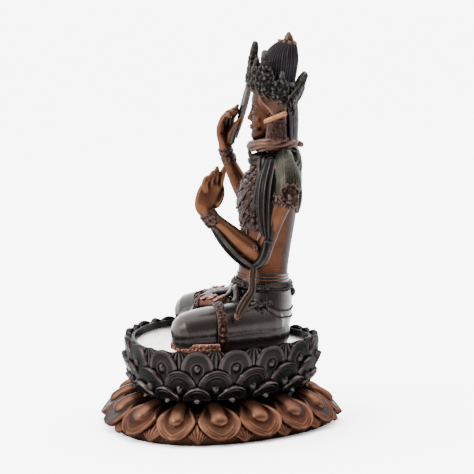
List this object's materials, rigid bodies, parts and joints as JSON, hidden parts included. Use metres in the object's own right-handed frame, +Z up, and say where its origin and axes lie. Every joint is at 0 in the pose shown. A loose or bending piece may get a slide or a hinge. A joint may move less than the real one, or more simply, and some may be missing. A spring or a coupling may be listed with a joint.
{
  "type": "seated crowned bodhisattva statue",
  "caption": "Cast copper statue of a crowned bodhisattva seated cross-legged, one hand raised by the face and one at the breast, on a lotus seat and a spreading lotus base.",
  "frame": {"origin": "on the floor under the middle of the lotus base's outline", "axes": "+Z up, -Y the way the figure faces, +X to the figure's own left"},
  "size_m": [0.1604, 0.1478, 0.2379],
  "materials": {
    "brown_copper": "oxidised cast copper, red-brown and rubbed bright on the high points",
    "black_oxide": "blackened cast copper with a soft gloss",
    "figure_patina": "cast copper with brown skin and blackened dress, hair and crown"
  },
  "bodies": {
    "root": {"lotus_base": "brown_copper", "lotus_seat": "black_oxide", "figure": "figure_patina"}
  },
  "joints": []
}
